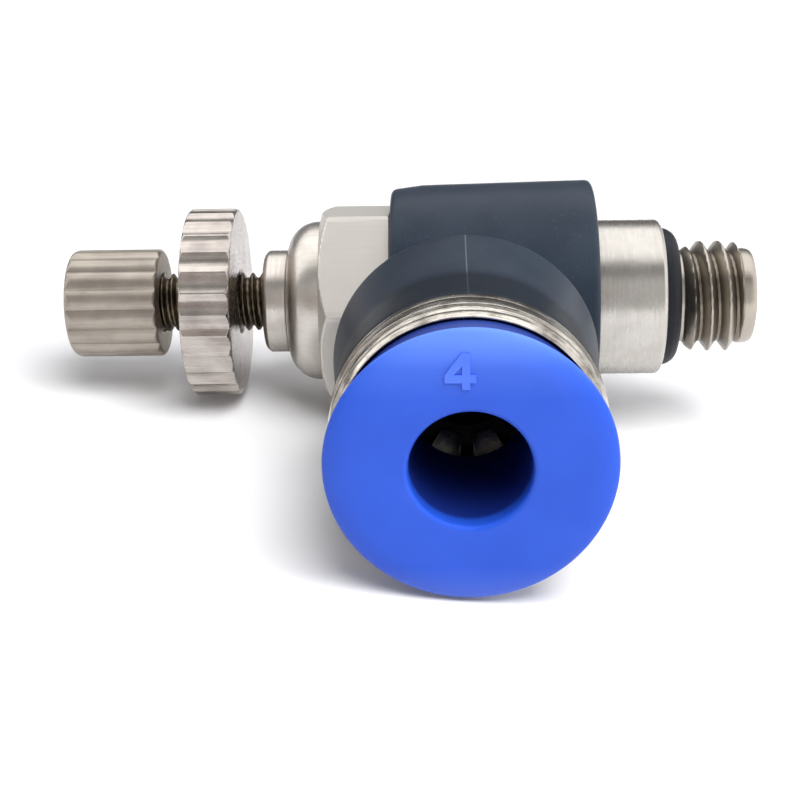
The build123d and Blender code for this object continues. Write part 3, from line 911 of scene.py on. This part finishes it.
def make_elbow():
    """Moulded elbow: block, neck and barrel joined, then bored."""
    block_left_r = 4.90
    block_ends = [
        (BLOCK_LEFT, 0),
        (BLOCK_LEFT, block_left_r),
        (BLOCK_BELLY_X, BLOCK_BELLY_R),
        (BLOCK_RIGHT, BLOCK_RIGHT_R),
        (BLOCK_RIGHT, 0),
    ]
    block = lathe("block", rounded(block_ends, 0.30, 8))
    neck_r = 3.95
    flat = BLOCK_LEFT + 0.12 - PORT_X
    flat_end = 5.2
    flat_slope = 1.2

    def flattened(along, radius, angle):
        limit = flat - max(0.0, along - flat_end) * flat_slope
        if radius * math.cos(angle) < limit:
            return limit / math.cos(angle)
        return radius

    barrel = lathe(
        "barrel",
        divided(
            rounded(
                [
                    (1.0, 0),
                    (1.0, neck_r - 1.0),
                    (2.0, neck_r),
                    (6.3, neck_r),
                    (7.45, BARREL_BACK_R - 0.60),
                    (7.60, BARREL_BACK_R - 0.12),
                    (7.78, BARREL_BACK_R),
                    (11.35, 4.97),
                    (BARREL_FRONT, 5.05),
                    (BARREL_FRONT, 0),
                ],
                0.10,
            ),
            0.5,
        ),
        ROUND_SEGMENTS,
        flattened,
        port=True,
    )
    outer = combined("outer", block, [barrel], "UNION")
    past_end = 1.0
    bore_r = 2.85
    gallery_r = 3.50
    outlet_gallery_r = 3.30
    bore = [
        (BLOCK_LEFT - past_end, 0),
        (BLOCK_LEFT - past_end, bore_r),
        *groove_walls(PORT_X - 0.90, 3.10, bore_r, gallery_r),
        *groove_walls(PORT_X + 3.50, 1.00, bore_r, outlet_gallery_r),
        (BLOCK_RIGHT + past_end, bore_r),
        (BLOCK_RIGHT + past_end, 0),
    ]
    passage_r = 1.50
    tube_stop = 6.9
    seal_back = 8.6
    seal_pocket_r = 3.30
    claw_back = 10.0
    claw_pocket_r = 3.95
    socket = [
        (0.5, 0),
        (0.5, passage_r),
        (tube_stop, passage_r),
        (tube_stop, TUBE_HOLE_R),
        (seal_back, TUBE_HOLE_R),
        (seal_back, seal_pocket_r),
        (claw_back, seal_pocket_r),
        (claw_back, claw_pocket_r),
        (CLAW_RIM_FRONT, claw_pocket_r),
        (CLAW_RIM_FRONT, COLLAR_POCKET_R),
        (BARREL_FRONT + past_end, COLLAR_POCKET_R),
        (BARREL_FRONT + past_end, 0),
    ]
    cutters = [lathe("bore", bore), lathe("socket", socket, port=True)]
    mesh = combined("elbow_moulding", outer, cutters, "DIFFERENCE")
    finish_piece(mesh, "elbow_moulding", "elbow", ["valve_body"], body_plastic, 32)


def make_port_collar():
    """Metal ring in the barrel's mouth with its groove and rounded nose."""
    claw_side = CLAW_RIM_FRONT
    inner_r = 3.20
    recess_r = 4.70
    recess_back = 14.25
    mark = 14.42
    groove = 15.11
    front = 15.67
    rim_r = 5.05
    profile = [
        (claw_side, inner_r),
        (claw_side, COLLAR_POCKET_R),
        (BARREL_FRONT, COLLAR_POCKET_R),
        (BARREL_FRONT, rim_r - 0.04),
        (BARREL_FRONT + 0.05, rim_r),
        (mark - 0.04, rim_r - 0.01),
        (mark, rim_r - 0.06),
        (mark + 0.04, rim_r - 0.01),
        (groove - 0.12, rim_r - 0.02),
        (groove - 0.05, rim_r - 0.14),
        (groove + 0.05, rim_r - 0.14),
        (groove + 0.09, rim_r - 0.06),
        (groove + 0.30, rim_r - 0.12),
        (groove + 0.34, rim_r - 0.18),
        (groove + 0.38, rim_r - 0.17),
        (front, rim_r - 0.29),
        (front, recess_r + 0.02),
        (front - 0.06, recess_r),
        (recess_back, recess_r),
        (recess_back, inner_r),
    ]
    mesh = lathe("port_collar_ring", rounded(profile, 0.02, 3), port=True)
    finish_piece(mesh, "port_collar_ring", "elbow", ["port_collar"], port_metal, 25)


def make_claw_ring():
    """Toothed steel ring whose slots part ten leaning teeth."""
    teeth = 10
    rim = CLAW_RIM_FRONT
    thickness = 0.15
    rim_inner_r = 3.25
    rim_outer_r = 3.95
    tip_r = 1.92
    tip_rounding = 0.30
    tip_reach = 0.28
    lean = 0.55
    tip_width = 0.12
    tip_slant = 0.06
    profile = [
        (rim - thickness, rim_inner_r),
        (rim - thickness, rim_outer_r),
        (rim, rim_outer_r),
        (rim, rim_inner_r),
        (rim - lean, tip_r),
        (rim - lean - tip_width, tip_r + tip_slant),
    ]
    step = 2 * math.pi / teeth

    def round_tipped(along, radius, angle):
        if radius >= tip_r + tip_reach:
            return radius
        off = abs((angle + step / 2) % step - step / 2) / (step / 2)
        return radius + tip_rounding * off**2.5

    ring = lathe("claw", rounded(profile, 0.03, 2), 240, round_tipped, port=True)
    slot_size = (2.45, 1.60, 0.50)
    slot_middle_out = 2.10
    slots = []
    for index in range(teeth):
        work = bmesh.new()
        turn = Matrix.Rotation(step * (index + 0.5), 4, "Y")
        centre = Matrix.Translation((PORT_X * MM, -(rim - 0.3) * MM, 0))
        bmesh.ops.create_cube(work, size=1.0)
        shape = Matrix.Diagonal((*[size * MM for size in slot_size], 1.0))
        outwards = Matrix.Translation((slot_middle_out * MM, 0, 0))
        bmesh.ops.transform(work, matrix=centre @ turn @ outwards @ shape, verts=work.verts)
        slot_mesh = bpy.data.meshes.new("slot")
        work.to_mesh(slot_mesh)
        work.free()
        slots.append(slot_mesh)
    mesh = combined("claw_ring_teeth", ring, slots, "DIFFERENCE")
    finish_piece(mesh, "claw_ring_teeth", "elbow", ["claw_ring"], claw_steel_shaded, 30)


# ---- release sleeve ----


def make_release_sleeve():
    """Blue push ring with a soft-edged flange, a neck and a thin tube."""
    tube_r = 3.10
    neck_r = 4.62
    tip = CLAW_RIM_FRONT + 1.15
    tip_lead = 0.05
    neck_back = 15.50
    flange_root = 17.00
    flange_rim = 17.48
    face_r = 3.96
    lead = 0.20
    front = SLEEVE_FRONT
    profile = [
        (tip, TUBE_HOLE_R + tip_lead),
        (tip, tube_r - 0.25),
        (tip + 0.45, tube_r),
        (neck_back, tube_r),
        (neck_back, neck_r),
        (flange_root, neck_r),
        (flange_rim - 0.08, FLANGE_R - 0.06),
    ]
    quarter = [math.radians(9 * step) for step in range(11)]
    for turn in quarter:
        along = flange_rim + (front - flange_rim) * math.sin(turn)
        profile.append((along, face_r + (FLANGE_R - face_r) * math.cos(turn)))
    for turn in quarter:
        along = front - lead + lead * math.cos(turn)
        profile.append((along, TUBE_HOLE_R + lead - lead * math.sin(turn)))
    profile.append((tip + tip_lead, TUBE_HOLE_R))
    mesh = lathe("release_sleeve_ring", rounded(profile, 0.04), 256, port=True)
    replaced = ["release_sleeve"]
    finish_piece(mesh, "release_sleeve_ring", "sleeve", replaced, sleeve_plastic, 40)


def make_digit():
    """Raised digit 4 on the sleeve's face: the tube's outside diameter."""
    height = 1.24
    stroke = 0.25
    centre_x = PORT_X - 0.34
    centre_z = 3.63
    half_width = 0.51
    half_depth = 0.055
    edge = 0.012
    stem_x = 0.19
    stem_left = stem_x - stroke / 2
    stem_right = stem_x + stroke / 2
    bar = -0.26
    bar_low = bar - stroke / 2
    bar_high = bar + stroke / 2
    top = height / 2
    outer = [
        (stem_left, -top),
        (stem_right, -top),
        (stem_right, bar_low),
        (half_width, bar_low),
        (half_width, bar_high),
        (stem_right, bar_high),
        (stem_right, top),
        (stem_left - 0.04, top),
        (-half_width, bar + stroke * 0.55),
        (-half_width, bar_low),
        (stem_left, bar_low),
    ]
    inner = [
        (stem_left, bar_high),
        (stem_left, top - 0.40),
        (-0.24, bar_high),
    ]
    curve = bpy.data.curves.new("digit", "CURVE")
    curve.dimensions = "2D"
    curve.fill_mode = "BOTH"
    curve.extrude = half_depth * MM
    curve.bevel_depth = edge * MM
    curve.bevel_resolution = 2
    for outline in (outer, inner):
        spline = curve.splines.new("POLY")
        spline.points.add(len(outline) - 1)
        for point, (x, y) in zip(spline.points, outline):
            point.co = (x * MM, y * MM, 0, 1)
        spline.use_cyclic_u = True
    holder = bpy.data.objects.new("digit_curve", curve)
    bpy.context.scene.collection.objects.link(holder)
    bpy.context.view_layer.update()
    evaluated = holder.evaluated_get(bpy.context.evaluated_depsgraph_get())
    mesh = bpy.data.meshes.new_from_object(evaluated)
    bpy.data.objects.remove(holder)
    stand_up = Matrix.Rotation(math.radians(90), 4, "X")
    place = Matrix.Translation((centre_x * MM, -SLEEVE_FRONT * MM, centre_z * MM))
    mesh.transform(place @ stand_up)
    finish_piece(mesh, "size_digit", "sleeve", [], digit_plastic, 20)


make_knob()
make_screw()
make_lock_nut()
make_guide_bush()
make_stem()
make_stem_collar()
make_gasket()
make_elbow()
make_port_collar()
make_claw_ring()
make_release_sleeve()
make_digit()


# ---- stage, light and camera ----


def make_floor():
    """Pale floor that glows far off, under the valve, which lies on its lock nut, block and sleeve."""
    nut_foot = Vector((NUT_LEFT, 0, -NUT_R))
    block_foot = Vector((BLOCK_BELLY_X, 0, -BLOCK_BELLY_R))
    sleeve_foot = Vector((PORT_X, -SLEEVE_FRONT, -FLANGE_R))
    upward = (block_foot - nut_foot).cross(nut_foot - sleeve_foot).normalized()
    if upward.z < 0:
        upward = -upward
    lowest = min(upward.dot(vertex.co) for piece in shown_pieces for vertex in piece.data.vertices)
    half_size = 350
    work = bmesh.new()
    bmesh.ops.create_grid(work, x_segments=2, y_segments=2, size=half_size * MM)
    mesh = bpy.data.meshes.new("floor")
    work.to_mesh(mesh)
    work.free()
    floor = bpy.data.objects.new("floor", mesh)
    clearance = 0.02
    below_valve = Vector((PORT_X, -8.0, 0)) * MM
    drop = lowest - clearance * MM - upward.dot(below_valve)
    floor.location = below_valve + upward * drop
    floor.rotation_euler = upward.to_track_quat("Z", "Y").to_euler()
    bpy.context.scene.collection.objects.link(floor)
    material, tree, shader = new_material("floor_white")
    shader.inputs["Base Color"].default_value = (0.80, 0.80, 0.81, 1.0)
    shader.inputs["Emission Color"].default_value = (1.0, 1.0, 1.0, 1.0)
    far_off = radial_zone(tree, (0, 0, 0), (1, 1, 0), 60, 150)
    tree.links.new(ramp(tree, far_off, [(0.0, 0.05), (1.0, 0.90)]), shader.inputs["Emission Strength"])
    shader.inputs["Roughness"].default_value = 0.9
    shader.inputs["Specular IOR Level"].default_value = 0.2
    floor.data.materials.append(material)


def make_area(name, place_mm, target_mm, size_mm, power, mirrored=True):
    """A flat soft light at a place, facing a target, which shiny faces may or may not mirror."""
    light = bpy.data.lights.new(name, "AREA")
    light.shape = "RECTANGLE"
    light.size = size_mm[0] * MM
    light.size_y = size_mm[1] * MM
    light.energy = power
    lamp = bpy.data.objects.new(name, light)
    lamp.location = Vector(place_mm) * MM
    aim = Vector(target_mm) * MM - lamp.location
    lamp.rotation_euler = aim.to_track_quat("-Z", "Y").to_euler()
    lamp.visible_glossy = mirrored
    bpy.context.scene.collection.objects.link(lamp)


def make_world():
    """Studio surroundings: bright overhead with dim bands before and behind, white to the camera.

    Each sky's colours follow half turns from the front horizon (0) over the top (0.5) to the back (1).
    """
    world = bpy.data.worlds.new("studio")
    bpy.context.scene.world = world
    world.use_nodes = True
    tree = world.node_tree
    background = tree.nodes["Background"]
    place = tree.nodes.new("ShaderNodeTexCoord")
    split = tree.nodes.new("ShaderNodeSeparateXYZ")
    tree.links.new(place.outputs["Generated"], split.inputs["Vector"])
    front = tree.nodes.new("ShaderNodeMath")
    front.operation = "MULTIPLY"
    front.inputs[1].default_value = -1.0
    tree.links.new(split.outputs["Y"], front.inputs[0])
    angle = tree.nodes.new("ShaderNodeMath")
    angle.operation = "ARCTAN2"
    tree.links.new(split.outputs["Z"], angle.inputs[0])
    tree.links.new(front.outputs[0], angle.inputs[1])
    half_turns = tree.nodes.new("ShaderNodeMath")
    half_turns.operation = "DIVIDE"
    half_turns.inputs[1].default_value = math.pi
    tree.links.new(angle.outputs[0], half_turns.inputs[0])
    overhead = [(0.43, 1.90), (0.78, 1.90), (0.825, 0.16), (1.00, 0.13)]
    rosy_low = (0.46, 0.42, 0.41)
    rosy_high = (0.48, 0.41, 0.39)
    left_front = [(0.00, rosy_low), (0.14, rosy_high), (0.24, 0.66), (0.30, 0.30), (0.38, 0.32)]
    right_front = [(0.00, 0.74), (0.24, 0.80), (0.30, 0.28), (0.38, 0.28)]
    left_sky = ramp(tree, half_turns.outputs[0], left_front + overhead)
    right_sky = ramp(tree, half_turns.outputs[0], right_front + overhead)
    to_right = ranged(tree, split.outputs["X"], -0.20, 0.10)
    both_skies = mixed(tree, to_right, left_sky, right_sky)
    far_right = ranged(tree, split.outputs["X"], 0.40, 0.75)
    sky = mixed(tree, far_right, both_skies, plain(tree, (1.5, 1.5, 1.5)))
    path = tree.nodes.new("ShaderNodeLightPath")
    dimmed = tree.nodes.new("ShaderNodeMix")
    dimmed.data_type = "RGBA"
    dimmed.blend_type = "MULTIPLY"
    dimmed.inputs["Factor"].default_value = 1.0
    dimmed.inputs["B"].default_value = (0.30, 0.30, 0.31, 1.0)
    tree.links.new(sky, dimmed.inputs["A"])
    softened = mixed(tree, path.outputs["Is Diffuse Ray"], sky, dimmed.outputs["Result"])
    seen = mixed(tree, path.outputs["Is Camera Ray"], softened, plain(tree, (1.0, 1.0, 1.0)))
    tree.links.new(seen, background.inputs["Color"])
    background.inputs["Strength"].default_value = 1.0


def make_camera():
    """Camera close to the valve, a little above it, level but for a slight roll."""
    azimuth = math.radians(1.894)
    elevation = math.radians(22.964)
    roll = math.radians(-1.318)
    place = Vector((PORT_X - 0.876, -61.737, 21.267)) * MM
    back = Vector(
        (
            math.sin(azimuth) * math.cos(elevation),
            -math.cos(azimuth) * math.cos(elevation),
            math.sin(elevation),
        )
    )
    right = (-back).cross(Vector((0, 0, 1))).normalized()
    up = right.cross(-back)
    turned_right = right * math.cos(roll) + up * math.sin(roll)
    turned_up = up * math.cos(roll) - right * math.sin(roll)
    pose = Matrix((turned_right, turned_up, back)).transposed().to_4x4()
    pose.translation = place
    data = bpy.data.cameras.new("camera")
    data.sensor_width = 36.0
    data.lens = 65.16
    data.clip_start = 1.0 * MM
    data.clip_end = 5000 * MM
    camera = bpy.data.objects.new("camera", data)
    camera.matrix_world = pose
    bpy.context.scene.collection.objects.link(camera)
    bpy.context.scene.camera = camera


make_floor()
make_area("front_key", (40, -80, 150), (-10, -6, 0), (130, 110), 0.43, mirrored=False)
make_area("right_fill", (150, -50, 70), (-5, 0, -3), (90, 70), 0.13, mirrored=False)
make_world()
make_camera()
bpy.context.scene.view_settings.view_transform = "Standard"
